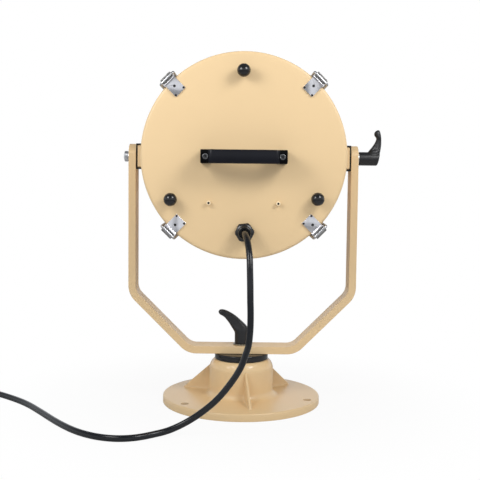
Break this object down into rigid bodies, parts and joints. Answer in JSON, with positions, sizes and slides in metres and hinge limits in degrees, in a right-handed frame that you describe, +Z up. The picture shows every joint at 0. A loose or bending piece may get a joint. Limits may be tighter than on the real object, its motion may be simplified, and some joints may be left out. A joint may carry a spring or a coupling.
{
  "type": "yoke-mounted searchlight",
  "caption": "Drum searchlight in a bent flat-bar yoke on a ribbed flanged pedestal, with clamping levers for pan and tilt, a latched rear cover with grip, and a cord.",
  "frame": {"origin": "centre of the flange's underside, where the light stands", "axes": "+Z up, +Y along the beam, the rear cover faces -Y, the tilt lever is at +X"},
  "size_m": [0.842, 0.4694, 0.59],
  "materials": {
    "tan_paint": "satin tan stove enamel",
    "black_plastic": "moulded black, slightly grained",
    "gloss_black": "glossy black moulding",
    "black_rubber": "satin black",
    "stainless": "pressed stainless",
    "bright_steel": "bright plated",
    "aluminium": "plain sheet",
    "mirror": "polished reflector",
    "clear_glass": "clear toughened glass",
    "lamp_glass": "lamp envelope",
    "ceramic": "off-white ceramic"
  },
  "bodies": {
    "base": {"base_casting": "tan_paint", "bearing_ring": "gloss_black", "pan_stud": "bright_steel", "cord_lower": "black_rubber", "cord_coil": "black_rubber", "cord_tie": "black_rubber", "plug": "black_rubber"},
    "yoke": {"yoke": "tan_paint", "pan_washer": "bright_steel", "tilt_washer": "bright_steel", "cord_upper": "black_rubber"},
    "head": {"drum_shell": "tan_paint", "trunnion_left": "tan_paint", "trunnion_right": "tan_paint", "friction_pad_left": "black_rubber", "friction_pad_right": "black_rubber", "pivot_bolt": "bright_steel", "pivot_nut": "bright_steel", "pivot_washer": "bright_steel", "front_bezel": "tan_paint", "lens_gasket": "black_rubber", "lens": "clear_glass", "reflector": "mirror", "lamp": "lamp_glass", "lamp_holder": "ceramic", "lamp_carrier": "aluminium", "inner_lead": "black_rubber", "rear_cover": "tan_paint", "cover_gasket": "black_rubber", "handle": "black_plastic", "handle_screw_left": "bright_steel", "handle_screw_right": "bright_steel", "gland_body": "gloss_black", "gland_nut": "gloss_black", "gland_locknut": "gloss_black", "standoff_left": "tan_paint", "standoff_right": "tan_paint", "latch_catch_1": "stainless", "latch_catch_2": "stainless", "latch_catch_3": "stainless", "latch_catch_4": "stainless", "latch_base_1": "stainless", "latch_base_2": "stainless", "latch_base_3": "stainless", "latch_base_4": "stainless"},
    "pan_lever": {"pan_lever": "black_plastic"},
    "tilt_lever": {"tilt_lever": "black_plastic", "tilt_stud": "bright_steel"},
    "latch_lever_1": {"latch_lever_1": "stainless"},
    "latch_bail_1": {"latch_bail_1": "stainless"},
    "latch_lever_2": {"latch_lever_2": "stainless"},
    "latch_bail_2": {"latch_bail_2": "stainless"},
    "latch_lever_3": {"latch_lever_3": "stainless"},
    "latch_bail_3": {"latch_bail_3": "stainless"},
    "latch_lever_4": {"latch_lever_4": "stainless"},
    "latch_bail_4": {"latch_bail_4": "stainless"},
    "knob_top": {"knob_top": "gloss_black"},
    "knob_left": {"knob_left": "gloss_black"},
    "knob_right": {"knob_right": "gloss_black"}
  },
  "joints": [
    {"name": "pan", "type": "hinge", "parent": "base", "child": "yoke", "pos_m": [0, 0, 0.0866], "axis": [0, 0, 1], "range_deg": [-170, 170], "deforming": ["cord_lower"]},
    {"name": "tilt", "type": "hinge", "parent": "yoke", "child": "head", "pos_m": [0, 0, 0.425], "axis": [1, 0, 0], "range_deg": [-30, 45], "deforming": ["cord_upper"]},
    {"name": "pan_lever_turn", "type": "hinge", "parent": "base", "child": "pan_lever", "pos_m": [0, 0, 0.1017], "axis": [0, 0, 1], "range_deg": [-90, 90]},
    {"name": "tilt_lever_turn", "type": "hinge", "parent": "head", "child": "tilt_lever", "pos_m": [0.2, 0, 0.425], "axis": [1, 0, 0], "range_deg": [-90, 90]},
    {"name": "latch_lever_1_turn", "type": "hinge", "parent": "head", "child": "latch_lever_1", "pos_m": [-0.1211, -0.08, 0.54359], "axis": [0.6997, 0, 0.7145], "range_deg": [0, 110]},
    {"name": "latch_bail_1_turn", "type": "hinge", "parent": "latch_lever_1", "child": "latch_bail_1", "pos_m": [-0.12039, -0.068, 0.54289], "axis": [0.6997, 0, 0.7145], "range_deg": [-130, 0]},
    {"name": "latch_lever_2_turn", "type": "hinge", "parent": "head", "child": "latch_lever_2", "pos_m": [0.11859, -0.08, 0.5461], "axis": [0.7145, 0, -0.6997], "range_deg": [0, 110]},
    {"name": "latch_bail_2_turn", "type": "hinge", "parent": "latch_lever_2", "child": "latch_bail_2", "pos_m": [0.11789, -0.068, 0.54539], "axis": [0.7145, 0, -0.6997], "range_deg": [-130, 0]},
    {"name": "latch_lever_3_turn", "type": "hinge", "parent": "head", "child": "latch_lever_3", "pos_m": [-0.11859, -0.08, 0.3039], "axis": [-0.7145, 0, 0.6997], "range_deg": [0, 110]},
    {"name": "latch_bail_3_turn", "type": "hinge", "parent": "latch_lever_3", "child": "latch_bail_3", "pos_m": [-0.11789, -0.068, 0.30461], "axis": [-0.7145, 0, 0.6997], "range_deg": [-130, 0]},
    {"name": "latch_lever_4_turn", "type": "hinge", "parent": "head", "child": "latch_lever_4", "pos_m": [0.1211, -0.08, 0.30641], "axis": [-0.6997, 0, -0.7145], "range_deg": [0, 110]},
    {"name": "latch_bail_4_turn", "type": "hinge", "parent": "latch_lever_4", "child": "latch_bail_4", "pos_m": [0.12039, -0.068, 0.30711], "axis": [-0.6997, 0, -0.7145], "range_deg": [-130, 0]},
    {"name": "knob_top_turn", "type": "hinge", "parent": "head", "child": "knob_top", "pos_m": [-0.00164, -0.115, 0.55799], "axis": [0, -1, 0], "range_deg": [-180, 180]},
    {"name": "knob_left_turn", "type": "hinge", "parent": "head", "child": "knob_left", "pos_m": [-0.11565, -0.115, 0.35483], "axis": [0, -1, 0], "range_deg": [-180, 180]},
    {"name": "knob_right_turn", "type": "hinge", "parent": "head", "child": "knob_right", "pos_m": [0.11729, -0.115, 0.35768], "axis": [0, -1, 0], "range_deg": [-180, 180]}
  ],
  "couplings": [
    {"joint": "latch_bail_1_turn", "follows": "latch_lever_1_turn", "ratio": -1.15},
    {"joint": "latch_bail_2_turn", "follows": "latch_lever_2_turn", "ratio": -1.15},
    {"joint": "latch_bail_3_turn", "follows": "latch_lever_3_turn", "ratio": -1.15},
    {"joint": "latch_bail_4_turn", "follows": "latch_lever_4_turn", "ratio": -1.15}
  ]
}
